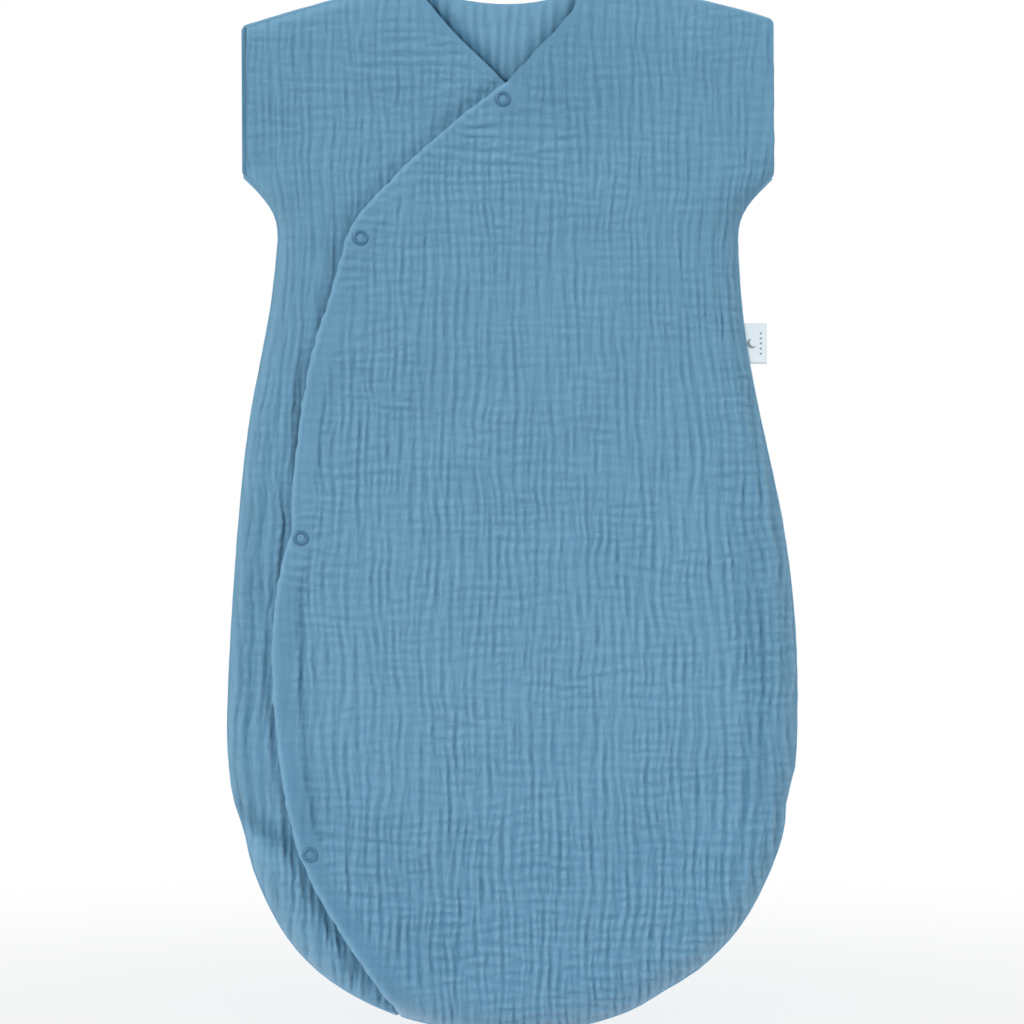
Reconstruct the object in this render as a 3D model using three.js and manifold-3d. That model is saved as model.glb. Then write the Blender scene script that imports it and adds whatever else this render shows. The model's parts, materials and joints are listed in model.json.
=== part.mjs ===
// Wrap-front sleeping bag for a young baby, in double gauze. A flat back and a two-layer front share one
// egg-shaped outline with cap sleeves cut in one with the body. The left front wraps over the right front and
// closes with four ring snaps down a diagonal edge. Both fronts fold open along straight lines that meet where
// the opening ends in the foot seam.
//
// Millimetres. +Z runs from the foot to the shoulders, the front faces -Y, and +X is the wearer's left side.
// The origin is at the lowest point of the foot, in the middle of the width and of the depth.

import * as THREE from "three";
import { mergeVertices } from "three/addons/utils/BufferGeometryUtils.js";
import Module from "manifold-3d";

const wasm = await Module();
wasm.setup();

// ---- Driving dimensions ------------------------------------------------------------------------------------

const hipHalf = 189; // half the widest width, at the hips
const hipZ = 205; // height of the widest point, where the foot's round end starts
const footPower = 2.1; // exponent of the superellipse that rounds the foot
const waistHalf = 152.5; // half the narrowest width, just under the arms
const waistZ = 512;
const sleeveHalf = 175; // half the span across the sleeve hems
const sleeveLowZ = 568; // underarm end of the sleeve hem
const sleeveTopZ = 668; // shoulder end of the sleeve hem
const neckZ = 700; // height of the neck points, the top of the bag
const neckRightX = -62; // neck point on the wearer's right
const neckLeftX = 50; // neck point on the wearer's left
const backNeckZ = 682; // lowest point of the back neckline

const cloth = 1.5; // thickness of one layer of crinkled double gauze
const cavity = 22; // inside depth of the bag between the back and the right front
const topFlatness = 0.4; // share of that depth that is lost in the sleeves and round the neck
const topStartZ = 560; // the front comes down from here
const topFullZ = 604; // to here
const riseWidth = 24; // distance from a seam in which the front rises to its full height
const seamGap = 0.4; // space between two layers where they are sewn together
const layerGap = 4.4; // space between the two fronts, which holds the snaps
const facing = 0.7; // thickness of facings and tapes
const facingWidth = 18;
const clearance = 0.3; // between parts that lie on each other

const seamWidth = 2; // width of the turned seam edge, seen from the front
const seamDepth = 5.6; // its depth, which takes the edges of all three layers
const foldGap = 1.2; // slot between a folding front and the fixed cloth beside it
const flapMargin = 6; // distance of the folding cloth from the outline
const facingMargin = 12; // distance of its facing from the outline

const ringR = 5; // snap ring, outer radius
const ringHoleR = 2.9;
const ringHeight = 0.9;
const ringLift = 0.1; // between a ring and the cloth it grips
const prongCircleR = 3.8;
const prongSide = 0.7;
const prongHoleSide = 1.2;
const prongCount = 5;
const prongLength = 3.2; // through cloth and facing into the groove of the socket or stud
const grooveIn = 3.2; // groove for the prong tips
const grooveOut = 4.4;
const grooveDepth = 0.7;
const discR = 4.8; // outer radius of socket and stud
const discGap = 0.15; // between a disc and the cloth beside it
const socketHeight = 1.8;
const socketHoleR = 2.3;
const studDisc = 1.1; // thickness of the stud's disc
const studPostR = 1.6;
const studBulbR = 1.9;
const studPost = 1.2; // height of the post over the disc
const bevel = 0.3;
const roundSegments = 16;

const labelWidth = 26;
const labelLength = 13.5;
const labelZ = 458;
const careLabelWidth = 30;
const careLabelLength = 40;
const careLabelZ = 300;
const labelLeaf = 0.4; // thickness of one leaf of a folded ribbon
const leafGap = 0.3;

// ---- Materials ---------------------------------------------------------------------------------------------

const gauze = new THREE.MeshStandardMaterial({ color: 0x6896b5, roughness: 0.95, metalness: 0 });
const tape = new THREE.MeshStandardMaterial({ color: 0x6490b0, roughness: 0.9, metalness: 0 });
const lacquer = new THREE.MeshStandardMaterial({ color: 0x5b88aa, roughness: 0.4, metalness: 0.3 });
const nickel = new THREE.MeshStandardMaterial({ color: 0xb9bcbe, roughness: 0.3, metalness: 0.9 });
const ribbon = new THREE.MeshStandardMaterial({ color: 0xe4e6ea, roughness: 0.7, metalness: 0 });

// ---- Depth -------------------------------------------------------------------------------------------------
// "Forward" is the distance in front of the back's outer face. The whole depth is centred on y = 0.

const depth = cloth + seamGap + cavity + cloth + layerGap + cloth + ringLift + ringHeight;
const y = (forward) => depth / 2 - forward;

// ---- Curves in the plane of the bag, as points (x, z) --------------------------------------------------------

const at = (x, z) => new THREE.Vector2(x, z);
const mirrored = (points) => points.map((p) => at(-p.x, p.y));
const shifted = (points, dx) => points.map((p) => at(p.x + dx, p.y));
const lerp = (a, b, t) => a + (b - a) * t;
const clamp = (t) => Math.min(1, Math.max(0, t));
const smooth = (t) => clamp(t) ** 2 * (3 - 2 * clamp(t));

// The sewn edge from the middle of the foot, round the hip and up to the underarm end of the left sleeve hem.
function sideEdge() {
  const steps = 16;
  const foot = Array.from({ length: steps + 1 }, (_, i) => {
    const angle = (Math.PI / 2) * (i / steps);
    const across = Math.sin(angle) ** (2 / footPower);
    const up = 1 - Math.cos(angle) ** (2 / footPower);
    return at(hipHalf * across, hipZ * up);
  });
  const side = new THREE.CubicBezierCurve(
    at(hipHalf, hipZ), at(hipHalf, 330), at(162, 440), at(waistHalf, waistZ),
  );
  const underarm = new THREE.CubicBezierCurve(
    at(waistHalf, waistZ), at(waistHalf, 545), at(163, 557), at(sleeveHalf, sleeveLowZ),
  );
  return [...foot, ...side.getPoints(10).slice(1), ...underarm.getPoints(6).slice(1)];
}

const leftSide = sideEdge();
const rightSide = mirrored(leftSide);
const neckRight = at(neckRightX, neckZ);
const neckLeft = at(neckLeftX, neckZ);
const leftShoulder = [at(sleeveHalf, sleeveTopZ), neckLeft];
const rightShoulder = [neckRight, at(-sleeveHalf, sleeveTopZ)];
const backNeckMiddle = at((neckLeftX + neckRightX) / 2, 2 * backNeckZ - neckZ);
const backNeck = new THREE.QuadraticBezierCurve(neckLeft, backNeckMiddle, neckRight).getPoints(10);

// The whole outline, anticlockwise, from the middle of the foot.
const outline = [
  ...leftSide,
  ...leftShoulder,
  ...backNeck.slice(1, -1),
  ...rightShoulder,
  ...rightSide.slice(1).reverse(),
];

const vPoint = at(-2.6, 629); // where the two fronts cross at the neck
const openingEnd = at(-74, 14); // where the opening ends in the foot seam
const underlapTip = at(4, 620);
const underlapFootZ = 62; // the underlap starts here, clear of the left front's edge

const rightNeckline = new THREE.QuadraticBezierCurve(neckRight, at(-45, 670), vPoint).getPoints(8);
const leftNeckline = new THREE.QuadraticBezierCurve(vPoint, at(38, 660), neckLeft).getPoints(8);

// The wrap edge: straight from the V to an elbow beside the second snap, then a curve along the right side.
const wrapEdge = [
  vPoint,
  ...new THREE.SplineCurve([
    at(-99, 541), at(-110, 519), at(-136, 416), at(-144, 345), at(-155.5, 240),
    at(-140, 125), at(-101, 51), openingEnd,
  ]).getPoints(30),
];

// The right front folds from a point halfway down its neckline.
const rightFoldIndex = 4;
const upperRightNeck = rightNeckline.slice(0, rightFoldIndex + 1);
const lowerRightNeck = rightNeckline.slice(rightFoldIndex);

// Snap centres, each about 7 mm in from the wrap edge.
const snapCentres = [at(-4, 618.4), at(-97.7, 526), at(-136.8, 329), at(-130.7, 121)];

function distanceTo(line, x, z) {
  let best = Infinity;
  for (let i = 1; i < line.length; i++) {
    const a = line[i - 1];
    const b = line[i];
    const length2 = (b.x - a.x) ** 2 + (b.y - a.y) ** 2;
    const t = clamp(((x - a.x) * (b.x - a.x) + (z - a.y) * (b.y - a.y)) / length2);
    best = Math.min(best, Math.hypot(x - lerp(a.x, b.x, t), z - lerp(a.y, b.y, t)));
  }
  return best;
}

function inside(x, z) {
  let odd = false;
  outline.forEach((a, i) => {
    const b = outline[(i + 1) % outline.length];
    if (a.y > z !== b.y > z && x < a.x + ((b.x - a.x) * (z - a.y)) / (b.y - a.y)) odd = !odd;
  });
  return odd;
}

// Distance from the nearest sewn edge: the sides, the foot and the shoulders. Hems and necklines are open.
function fromSeam(x, z) {
  if (!inside(x, z)) return 0;
  const seams = [leftSide, rightSide, leftShoulder, rightShoulder];
  return Math.min(...seams.map((line) => distanceTo(line, x, z)));
}

// The closed outline moved inwards by a distance, with mitred corners.
function inset(distance) {
  const count = outline.length;
  return outline.map((p, i) => {
    const before = p.clone().sub(outline[(i + count - 1) % count]).normalize();
    const after = outline[(i + 1) % count].clone().sub(p).normalize();
    const inward = at(-before.y - after.y, before.x + after.x).normalize();
    return p.clone().addScaledVector(inward, distance / inward.dot(at(-after.y, after.x)));
  });
}

// A line of points moved to its left-hand side.
function offset(line, distance) {
  return line.map((p, i) => {
    const from = line[Math.max(0, i - 1)];
    const to = line[Math.min(line.length - 1, i + 1)];
    const along = to.clone().sub(from).normalize();
    return p.clone().addScaledVector(at(-along.y, along.x), distance);
  });
}

const band = (line, toLeft, toRight) => [...offset(line, toLeft), ...offset(line, -toRight).reverse()];

// ---- Surfaces: how far forward the inner face of each front layer stands at (x, z) ----------------------------

function innerFaces(x, z) {
  const share = Math.min(1, fromSeam(x, z) / riseWidth);
  const flatter = topFlatness * smooth((z - topStartZ) / (topFullZ - topStartZ));
  const rise = cavity * (1 - flatter) * Math.sin((Math.PI / 2) * share);
  const under = cloth + seamGap + rise;
  return { under, over: under + cloth + lerp(seamGap, layerGap, smooth(share)) };
}

// Grid lines are close where the front curves down to the seams, and wide on its flat middle.
function gridLines(...stretches) {
  const starts = stretches.flatMap(([from, to, count]) =>
    Array.from({ length: count }, (_, i) => lerp(from, to, i / count)),
  );
  return [...starts, stretches.at(-1)[1]];
}
const gridX = gridLines([-196, -108, 10], [-108, 108, 5], [108, 196, 10]);
const gridZ = gridLines([-8, 152, 14], [152, 560, 12], [560, 708, 10]);
const gridFaces = gridX.map((x) => gridZ.map((z) => innerFaces(x, z)));

// ---- Solids ----------------------------------------------------------------------------------------------------

// A closed three.js geometry as a solid that can be joined and cut.
function solidOf(geometry) {
  const bare = geometry.clone();
  for (const name of Object.keys(bare.attributes)) if (name !== "position") bare.deleteAttribute(name);
  const merged = mergeVertices(bare, 1e-4);
  const corners = merged.index.array;
  const kept = [];
  for (let i = 0; i < corners.length; i += 3) {
    const [a, b, c] = corners.slice(i, i + 3);
    if (a !== b && b !== c && c !== a) kept.push(a, b, c);
  }
  const vertProperties = new Float32Array(merged.attributes.position.array);
  return new wasm.Manifold(new wasm.Mesh({ numProp: 3, vertProperties, triVerts: new Uint32Array(kept) }));
}

// A slab over the whole grid, between two depths given by functions of the layers' inner faces.
function slab(backOf, frontOf) {
  const columns = gridX.length;
  const rows = gridZ.length;
  const positions = [];
  for (const face of [backOf, frontOf])
    gridX.forEach((x, i) => gridZ.forEach((z, j) => positions.push(x, y(face(gridFaces[i][j])), z)));
  const back = (i, j) => i * rows + j;
  const front = (i, j) => columns * rows + i * rows + j;
  const index = [];
  const quad = (a, b, c, d) => index.push(a, b, c, a, c, d);
  for (let i = 0; i + 1 < columns; i++) {
    for (let j = 0; j + 1 < rows; j++) {
      quad(front(i, j), front(i + 1, j), front(i + 1, j + 1), front(i, j + 1));
      quad(back(i, j), back(i, j + 1), back(i + 1, j + 1), back(i + 1, j));
    }
    quad(back(i, 0), back(i + 1, 0), front(i + 1, 0), front(i, 0));
    quad(front(i, rows - 1), front(i + 1, rows - 1), back(i + 1, rows - 1), back(i, rows - 1));
  }
  for (let j = 0; j + 1 < rows; j++) {
    const last = columns - 1;
    quad(front(0, j), front(0, j + 1), back(0, j + 1), back(0, j));
    quad(back(last, j), back(last, j + 1), front(last, j + 1), front(last, j));
  }
  const geometry = new THREE.BufferGeometry();
  geometry.setAttribute("position", new THREE.Float32BufferAttribute(positions, 3));
  geometry.setIndex(index);
  return solidOf(geometry);
}

// A flat shape in the plane of the bag, made solid from one depth forward to another.
function prism(points, from = -5, to = depth + 5) {
  const shape = new THREE.Shape(points);
  const geometry = new THREE.ExtrudeGeometry(shape, { depth: to - from, bevelEnabled: false });
  return solidOf(geometry.rotateX(Math.PI / 2).translate(0, y(from), 0));
}

const box = (x0, x1, z0, z1) => prism([at(x0, z0), at(x1, z0), at(x1, z1), at(x0, z1)]);
const joined = (solids) => solids.reduce((all, one) => all.add(one));

// ---- Regions of the cloth ----------------------------------------------------------------------------------------

const body = prism(inset(seamWidth + clearance));
const flapBody = prism(inset(flapMargin));
const facingBody = prism(inset(facingMargin));
const far = 400;
const above = 760;
const below = -50;
const foldLeft = openingEnd.x - foldGap / 2;
const foldRight = openingEnd.x + foldGap / 2;

// The right front beyond its fold, and the underlap between the fold and its hidden free edge.
const rightFixed = prism([
  at(-far, below), at(foldLeft, below), at(foldLeft, openingEnd.y),
  ...shifted(upperRightNeck, -foldGap / 2).reverse(),
  at(neckRightX, above), at(-far, above),
]);
const foldShare = (underlapFootZ - openingEnd.y) / (lowerRightNeck[0].y - openingEnd.y);
const underlapFoot = openingEnd.clone().lerp(lowerRightNeck[0], foldShare);
const underlapArea = prism([
  at(underlapFoot.x + foldGap / 2, underlapFootZ), underlapTip,
  ...shifted(lowerRightNeck, foldGap / 2).reverse(),
]).intersect(flapBody);

// The left front beyond its fold, and the overlap between the fold and the wrap edge.
const leftFixed = prism([
  at(foldRight, below), at(far, below), at(far, above), at(neckLeftX + foldGap / 2, above),
  at(neckLeftX + foldGap / 2, neckZ), at(foldRight, openingEnd.y),
]);
const overlapArea = prism([
  ...[...wrapEdge].reverse(), ...leftNeckline.slice(1, -1), at(neckLeftX - foldGap / 2, neckZ),
]).intersect(flapBody);

// ---- Snaps, made round the Z axis -----------------------------------------------------------------------------------

// A round part from a profile of [radius, height] pairs, anticlockwise.
function turned(profile) {
  const points = profile.map(([radius, height]) => at(radius, height));
  return solidOf(new THREE.LatheGeometry(points, roundSegments).rotateX(Math.PI / 2));
}

// Square pins on the prong circle between two heights.
function pins(side, low, high) {
  const angles = Array.from({ length: prongCount }, (_, k) => (2 * Math.PI * (k + 0.25)) / prongCount);
  return joined(angles.map((angle) => {
    const pin = new THREE.BoxGeometry(side, side, high - low);
    return solidOf(pin.translate(prongCircleR, 0, (high + low) / 2).rotateZ(angle));
  }));
}

// An open ring with a rounded face at +Z and prongs towards -Z.
function prongRing() {
  const middle = (ringR + ringHoleR) / 2;
  const half = (ringR - ringHoleR) / 2;
  const shoulder = ringHeight * 0.3;
  const crown = Array.from({ length: 5 }, (_, i) => {
    const angle = (Math.PI * i) / 4;
    return [middle + half * Math.cos(angle), shoulder + (ringHeight - shoulder) * Math.sin(angle)];
  });
  return turned([[ringHoleR, 0], [ringR, 0], ...crown, [ringHoleR, 0]]).add(
    pins(prongSide, -prongLength, ringHeight / 3),
  );
}

// The socket: a disc with a hole for the stud, and a groove for the prong tips on its cloth side (+Z).
function socket() {
  return turned([
    [socketHoleR, 0], [discR - bevel, 0], [discR, bevel], [discR, socketHeight],
    [grooveOut, socketHeight], [grooveOut, socketHeight - grooveDepth],
    [grooveIn, socketHeight - grooveDepth], [grooveIn, socketHeight],
    [socketHoleR, socketHeight], [socketHoleR, 0],
  ]);
}

// The stud: a disc with a bulbed post, and a groove for the prong tips on its cloth side (height 0).
function stud() {
  return turned([
    [0, 0], [grooveIn, 0], [grooveIn, grooveDepth], [grooveOut, grooveDepth], [grooveOut, 0],
    [discR, 0], [discR, studDisc - bevel], [discR - bevel, studDisc], [studPostR, studDisc],
    [studBulbR, studDisc + studPost / 2], [studPostR, studDisc + studPost], [0, studDisc + studPost],
  ]);
}

// Puts a snap part's height 0 at a depth over a snap centre, with its +Z forward or backward.
const facingFront = (solid, centre, forward) =>
  solid.rotate([90, 0, 0]).translate([centre.x, y(forward), centre.y]);
const facingBack = (solid, centre, forward) =>
  solid.rotate([-90, 0, 0]).translate([centre.x, y(forward), centre.y]);

// The depths at a snap: the inner face of the left front, and the outer face of the right front.
function snapLevels(centre) {
  const { under, over } = innerFaces(centre.x, centre.y);
  return { overInner: over, underOuter: under + cloth };
}

const holes = pins(prongHoleSide, 0, layerGap);
const overHoles = joined(
  snapCentres.map((c) => facingFront(holes, c, snapLevels(c).overInner - layerGap / 2)),
);
const underHoles = joined(
  snapCentres.map((c) => facingBack(holes, c, snapLevels(c).underOuter + layerGap / 4)),
);

// ---- Labels ------------------------------------------------------------------------------------------------------------

// A ribbon folded in two, open at x = 0 and folded at x = length, flat in X and Z.
function foldedRibbon(length, width) {
  const thick = 2 * labelLeaf + leafGap;
  const profile = new THREE.Shape([
    at(0, 0), at(length, 0), at(length, thick), at(0, thick),
    at(0, labelLeaf + leafGap), at(length - labelLeaf, labelLeaf + leafGap),
    at(length - labelLeaf, labelLeaf), at(0, labelLeaf),
  ]);
  const geometry = new THREE.ExtrudeGeometry(profile, { depth: width, bevelEnabled: false });
  return solidOf(geometry.translate(0, -thick / 2, -width / 2));
}

// The left edge at a height: its x, and its lean from the vertical in degrees.
function leftEdgeAt(z) {
  const i = leftSide.findIndex((p) => p.y >= z);
  const [a, b] = [leftSide[i - 1], leftSide[i]];
  const x = lerp(a.x, b.x, (z - a.y) / (b.y - a.y));
  return { x, lean: (Math.atan2(a.x - b.x, b.y - a.y) * 180) / Math.PI };
}

// ---- The group ---------------------------------------------------------------------------------------------------------

const bag = new THREE.Group();

function addPart(name, solid, material) {
  const made = solid.getMesh();
  const geometry = new THREE.BufferGeometry();
  geometry.setAttribute("position", new THREE.BufferAttribute(new Float32Array(made.vertProperties), 3));
  geometry.setIndex(new THREE.BufferAttribute(new Uint32Array(made.triVerts), 1));
  geometry.computeVertexNormals();
  const mesh = new THREE.Mesh(geometry, material);
  mesh.name = name;
  bag.add(mesh);
}

function addPanels() {
  const under = slab((f) => f.under, (f) => f.under + cloth);
  const over = slab((f) => f.over, (f) => f.over + cloth);
  addPart("back_panel", prism(inset(seamWidth + clearance), 0, cloth), gauze);
  addPart("right_front_panel", under.intersect(body).intersect(rightFixed).subtract(underHoles), gauze);
  addPart("underlap_flap", under.intersect(underlapArea).subtract(underHoles), gauze);
  addPart("left_front_panel", over.intersect(body).intersect(leftFixed), gauze);
  addPart("overlap_flap", over.intersect(overlapArea).subtract(overHoles), gauze);
}

// Strips of cloth on the inner face of the panels, along the neckline, the free edges and the studs.
function addFacings() {
  const under = slab((f) => f.under - clearance - facing, (f) => f.under - clearance);
  const over = slab((f) => f.over - clearance - facing, (f) => f.over - clearance);
  const behindEdge = prism(band([...[...wrapEdge].reverse(), ...leftNeckline.slice(1)], 1, facingWidth));
  const behindUnderlap = prism(band([...lowerRightNeck, underlapTip], 1, facingWidth));
  const behindRightNeck = prism(band(upperRightNeck, 1, facingWidth));
  const behindStuds = prism(band(wrapEdge.slice(1, -6), facingWidth, 0));
  const neckEdge = backNeck.slice(1, -1).map((p) => at(p.x, p.y - seamWidth - clearance));
  const behindNeck = prism(band(neckEdge, facingWidth, 0), cloth + clearance, cloth + clearance + facing);
  addPart("overlap_facing", over.intersect(behindEdge).intersect(overlapArea).intersect(facingBody).subtract(overHoles), tape);
  addPart("underlap_facing", under.intersect(behindUnderlap).intersect(underlapArea).subtract(underHoles), tape);
  addPart("right_neck_facing", under.intersect(behindRightNeck).intersect(rightFixed).intersect(flapBody), tape);
  addPart("stud_tape", under.intersect(behindStuds).subtract(underHoles), tape);
  addPart("back_neck_facing", behindNeck, tape);
}

// A flat tube that lines the open end of a sleeve. Its front follows the front layer of that sleeve.
function sleeveFacing(side, frontOf) {
  const low = cloth + clearance;
  const wall = facing + clearance;
  const outer = slab(() => low, (f) => frontOf(f) - clearance);
  const inner = slab(() => low + facing, (f) => Math.max(low + wall, frontOf(f) - wall));
  const end = sleeveHalf - seamWidth - clearance;
  const across = [side * (end - facingWidth), side * end].sort((a, b) => a - b);
  const reach = box(...across, sleeveLowZ + 3, sleeveTopZ - 3);
  const hollow = box(across[0] - 5, across[1] + 5, sleeveLowZ + 7, sleeveTopZ - 7);
  return outer.intersect(reach).subtract(inner.intersect(hollow));
}

// Sewn seams: the turned edges that join the layers, between the outline and the cloth.
function addSeams() {
  const ring = prism(outline, 0.2, seamDepth).subtract(prism(inset(seamWidth)));
  const end = sleeveHalf - seamWidth;
  addPart("side_seam_left", ring.intersect(box(openingEnd.x + 1, far, below, sleeveLowZ + 1)), gauze);
  addPart("side_seam_right", ring.intersect(box(-far, openingEnd.x - 1, below, sleeveLowZ + 1)), gauze);
  addPart("shoulder_seam_left", ring.intersect(box(neckLeftX + 1, end, sleeveTopZ - 8, above)), gauze);
  addPart("shoulder_seam_right", ring.intersect(box(-end, neckRightX - 1, sleeveTopZ - 8, above)), gauze);
}

// Ring and socket grip the left front, stud and ring grip the right front.
function addSnap(centre, name) {
  const { overInner, underOuter } = snapLevels(centre);
  const socketForward = overInner - clearance - facing - discGap - socketHeight;
  const ringForward = underOuter - cloth - clearance - facing - ringLift;
  addPart(name + "_cap_ring", facingFront(prongRing(), centre, overInner + cloth + ringLift), lacquer);
  addPart(name + "_socket", facingFront(socket(), centre, socketForward), nickel);
  addPart(name + "_stud", facingFront(stud(), centre, underOuter + discGap), nickel);
  addPart(name + "_stud_ring", facingBack(prongRing(), centre, ringForward), lacquer);
}

function addLabels() {
  const side = leftEdgeAt(labelZ);
  const outside = foldedRibbon(labelLength, labelWidth).rotate([0, -side.lean, 0]);
  addPart("side_label", outside.translate([side.x + 1, y(seamDepth / 2), labelZ]), ribbon);
  const care = leftEdgeAt(careLabelZ);
  const within = foldedRibbon(careLabelLength, careLabelWidth).rotate([0, 180 - care.lean, 0]);
  const forward = cloth + labelLeaf + leafGap + 0.5;
  addPart("care_label", within.translate([care.x - 6, y(forward), careLabelZ]), ribbon);
}

addPanels();
addFacings();
addPart("sleeve_facing_right", sleeveFacing(-1, (f) => f.under), tape);
addPart("sleeve_facing_left", sleeveFacing(1, (f) => f.over), tape);
addSeams();
snapCentres.forEach((centre, i) => addSnap(centre, "snap_" + (i + 1)));
addLabels();

export default bag;
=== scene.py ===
# Wrap-front baby sleeping bag in blue double gauze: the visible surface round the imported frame.
# Lengths here are millimetres and become metres when a mesh is made. x and z are the frame's X and Z.
# "Forward" is the distance in front of the outer face of the back, along -Y.

import functools
import json
import math
import types

import bpy
import numpy as np
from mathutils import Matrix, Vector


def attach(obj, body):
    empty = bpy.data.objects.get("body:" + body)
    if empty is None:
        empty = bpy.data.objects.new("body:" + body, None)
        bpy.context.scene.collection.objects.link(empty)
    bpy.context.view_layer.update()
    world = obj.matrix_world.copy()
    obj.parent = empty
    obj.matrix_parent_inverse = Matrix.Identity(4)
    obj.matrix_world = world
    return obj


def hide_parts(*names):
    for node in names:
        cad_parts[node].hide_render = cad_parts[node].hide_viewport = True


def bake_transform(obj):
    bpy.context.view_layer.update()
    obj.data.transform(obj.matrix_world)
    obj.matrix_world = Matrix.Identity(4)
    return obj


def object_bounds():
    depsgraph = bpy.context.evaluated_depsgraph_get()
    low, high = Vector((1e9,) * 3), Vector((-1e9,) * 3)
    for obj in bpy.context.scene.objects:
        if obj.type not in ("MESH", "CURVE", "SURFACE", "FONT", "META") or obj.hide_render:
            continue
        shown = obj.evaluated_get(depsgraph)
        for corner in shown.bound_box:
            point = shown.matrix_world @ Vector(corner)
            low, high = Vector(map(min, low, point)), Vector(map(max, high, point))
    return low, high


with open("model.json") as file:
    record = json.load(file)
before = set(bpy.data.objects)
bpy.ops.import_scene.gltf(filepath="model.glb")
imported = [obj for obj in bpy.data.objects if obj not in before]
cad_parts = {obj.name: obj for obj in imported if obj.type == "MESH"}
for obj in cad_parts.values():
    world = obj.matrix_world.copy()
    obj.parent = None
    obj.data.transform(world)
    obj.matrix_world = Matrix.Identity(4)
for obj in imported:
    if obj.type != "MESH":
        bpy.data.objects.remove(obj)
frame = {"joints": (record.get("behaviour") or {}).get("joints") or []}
cad_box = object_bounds()

MM = 0.001
DEPTH = (cad_box[1][1] - cad_box[0][1]) / MM  # of the whole bag
FINE = (1.05, 1.6)  # vertex spacing of the fronts across and along the ridges
MEDIUM = (1.25, 2.2)  # the same on the back
COARSE = (2.4, 2.4)  # vertex spacing of the strips behind
CLOTH = 1.5  # thickness of double gauze
STRIP = 0.6  # thickness of facings
SEAM_LEVEL = 2.8  # forward distance of the sewn edges
HEM_IN = 1.2  # how far the cloth stops inside the outline, where the seam's cord takes over
TURNED_IN = 0.8  # how far a strip stops inside the edge it is sewn to
FACING_WIDTH = 17.5
SNAP_CLEAR = 5.2  # the cloth is flat this far from the middle of a snap
STRIP_GAP = 0.15  # between a cloth and the strip sewn on it
FOLD_GAP = 0.8  # how far two strips of the right neckline stop from the fold line between them
SLEEVE_END = 177  # half the width across the sleeves
SLEEVE_FOOT = 560  # height just below the sleeves' lower corners
GRID_START, GRID_SIZE = (-204.0, -12.0), (408, 724)  # x and z of every lattice
LABEL_HEIGHT, LABEL_TIP = 458.8, 171.4  # z of the ribbon label's middle, x of its folded end
CARE_LABEL_HEIGHT = 300
RELIEF = 0.75  # height of the ridges of the gauze

# ---- Curves ----


def smooth(t):
    t = np.clip(t, 0, 1)
    return t * t * (3 - 2 * t)


def bell(distance, width):
    return np.exp(-((distance / width) ** 2))


def bezier(points, count):
    p = np.array(points, float)
    t = np.linspace(0, 1, count + 1)[:, None]
    degree = len(p) - 1
    terms = [math.comb(degree, i) * t**i * (1 - t) ** (degree - i) * p[i] for i in range(degree + 1)]
    return sum(terms)


def through(points, per_span):
    """A centripetal Catmull-Rom curve through points."""
    p = np.array(points, float)
    p = np.vstack([2 * p[0] - p[1], p, 2 * p[-1] - p[-2]])
    out = []
    for i in range(1, len(p) - 2):
        knots = [0.0]
        for a, b in ((i - 1, i), (i, i + 1), (i + 1, i + 2)):
            knots.append(knots[-1] + math.sqrt(np.linalg.norm(p[b] - p[a])))
        t = np.linspace(knots[1], knots[2], per_span, endpoint=False)[:, None]

        def mix(a, b, first, last):
            ta, tb = knots[first], knots[last]
            return ((tb - t) * a + (t - ta) * b) / (tb - ta)

        a1, a2, a3 = (mix(p[i - 1 + k], p[i + k], k, k + 1) for k in range(3))
        b1 = mix(a1, a2, 0, 2)
        b2 = mix(a2, a3, 1, 3)
        out.append(mix(b1, b2, 1, 2))
    return np.vstack(out + [p[-2:-1]])


def mirror(points):
    return np.array(points, float) * (-1, 1)


def foot_arc(half_width, hip_z, power=2.2, count=28):
    """A quarter of a superellipse from the middle of the foot to the hip."""
    angle = np.linspace(0, math.pi / 2, count + 1)
    x = half_width * np.sin(angle) ** (2 / power)
    z = hip_z * (1 - np.clip(np.cos(angle), 0, 1) ** (2 / power))
    return np.column_stack([x, z])


def widened(points, bulges):
    """Side curve with small local bulges, each (z, reach along z, how far out)."""
    p = np.array(points, float)
    p[:, 0] += sum(out * bell(p[:, 1] - z, reach) for z, reach, out in bulges) * smooth((p[:, 0] - 20) / 60)
    return p


HIP_Z = 205
left_side = widened(np.vstack([
    foot_arc(192, HIP_Z)[:-1],
    bezier([(192, HIP_Z), (195.4, 363), (155.1, 402.9), (152.6, 528)], 24)[:-1],
    bezier([(152.6, 528), (152.6, 546), (160, 553), (177.5, 570)], 8),
]), [(156, 14, -3.3), (68, 20, 1.2), (27, 9, -3.5)])
right_side = mirror(widened(np.vstack([
    foot_arc(187.3, HIP_Z)[:-1],
    bezier([(187.3, HIP_Z), (178.5, 459.1), (163.2, 416.4), (154, 528)], 24)[:-1],
    bezier([(154, 528), (154, 546), (160, 553), (179, 571)], 8),
]), [(42, 42, 5.5), (133, 16, -2.5), (236, 60, 0.8)]))
NECK_LEFT, NECK_RIGHT = (50, 700), (-64, 700)
left_shoulder = bezier([(177.2, 674.3), (120, 693), NECK_LEFT], 10)
right_shoulder = bezier([(-179.5, 669.6), (-115, 690), NECK_RIGHT], 10)
back_neck = bezier([NECK_LEFT, (26, 682), (-4, 684), (-36, 685), NECK_RIGHT], 16)

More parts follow.
